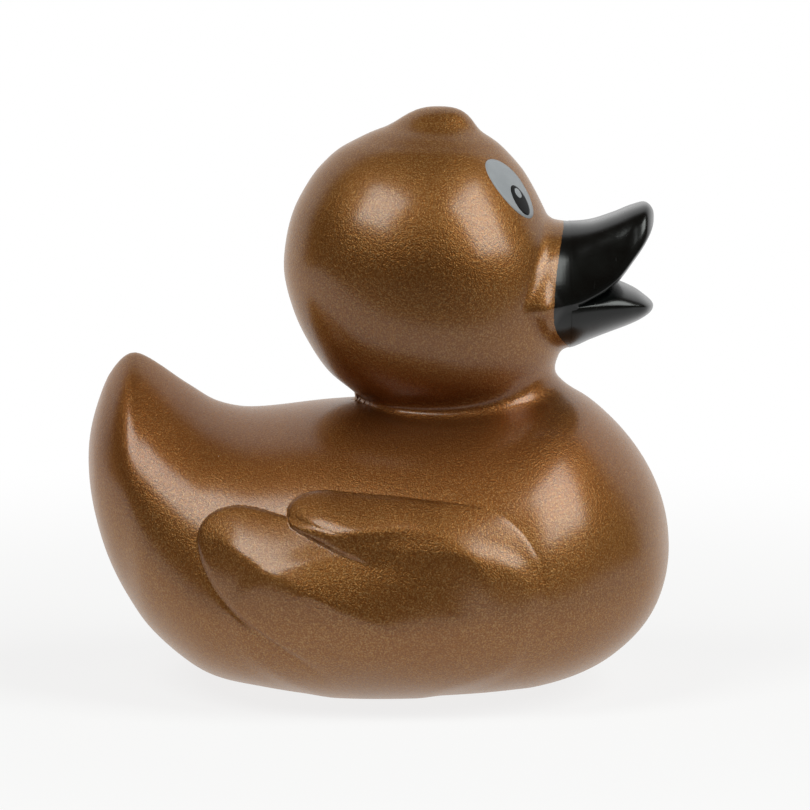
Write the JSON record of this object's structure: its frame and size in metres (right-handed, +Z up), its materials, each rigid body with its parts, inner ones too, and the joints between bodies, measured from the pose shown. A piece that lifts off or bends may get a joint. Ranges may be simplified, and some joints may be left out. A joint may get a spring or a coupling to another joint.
{
  "type": "bath duck figurine",
  "caption": "Hollow bath duck in satin bronze with an open black bill, printed oval eyes, moulded wings, upturned tail and a reed squeaker in its flat base.",
  "frame": {"origin": "on the resting surface, under the middle of the duck's bounding box", "axes": "+X out of the bill, +Y to the duck's left, +Z up"},
  "size_m": [0.0804, 0.0688, 0.0802],
  "materials": {
    "bronze_coat": "satin metallic bronze spray coat over soft black vinyl",
    "black_gloss": "gloss black vinyl",
    "white_ink": "satin white pad print",
    "black_ink": "satin black pad print",
    "squeaker_plastic": "natural moulded polyethylene",
    "reed_film": "thin stiff plastic film"
  },
  "bodies": {
    "duck": {"duck_shell": "bronze_coat", "upper_beak": "black_gloss", "lower_beak": "black_gloss", "right_eye_white": "white_ink", "right_pupil": "black_ink", "right_glint": "white_ink", "left_eye_white": "white_ink", "left_pupil": "black_ink", "left_glint": "white_ink", "squeaker_housing": "squeaker_plastic", "squeaker_cap": "squeaker_plastic", "reed_block": "squeaker_plastic", "reed_wedge": "squeaker_plastic"},
    "reed": {"reed_tongue": "reed_film"}
  },
  "joints": [
    {"name": "reed_flex", "type": "hinge", "parent": "duck", "child": "reed", "pos_m": [0.0075, 0, 0.0038], "axis": [0, 1, 0], "range_deg": [-2, 4], "stiffness_Nm_per_rad": 0.003}
  ]
}
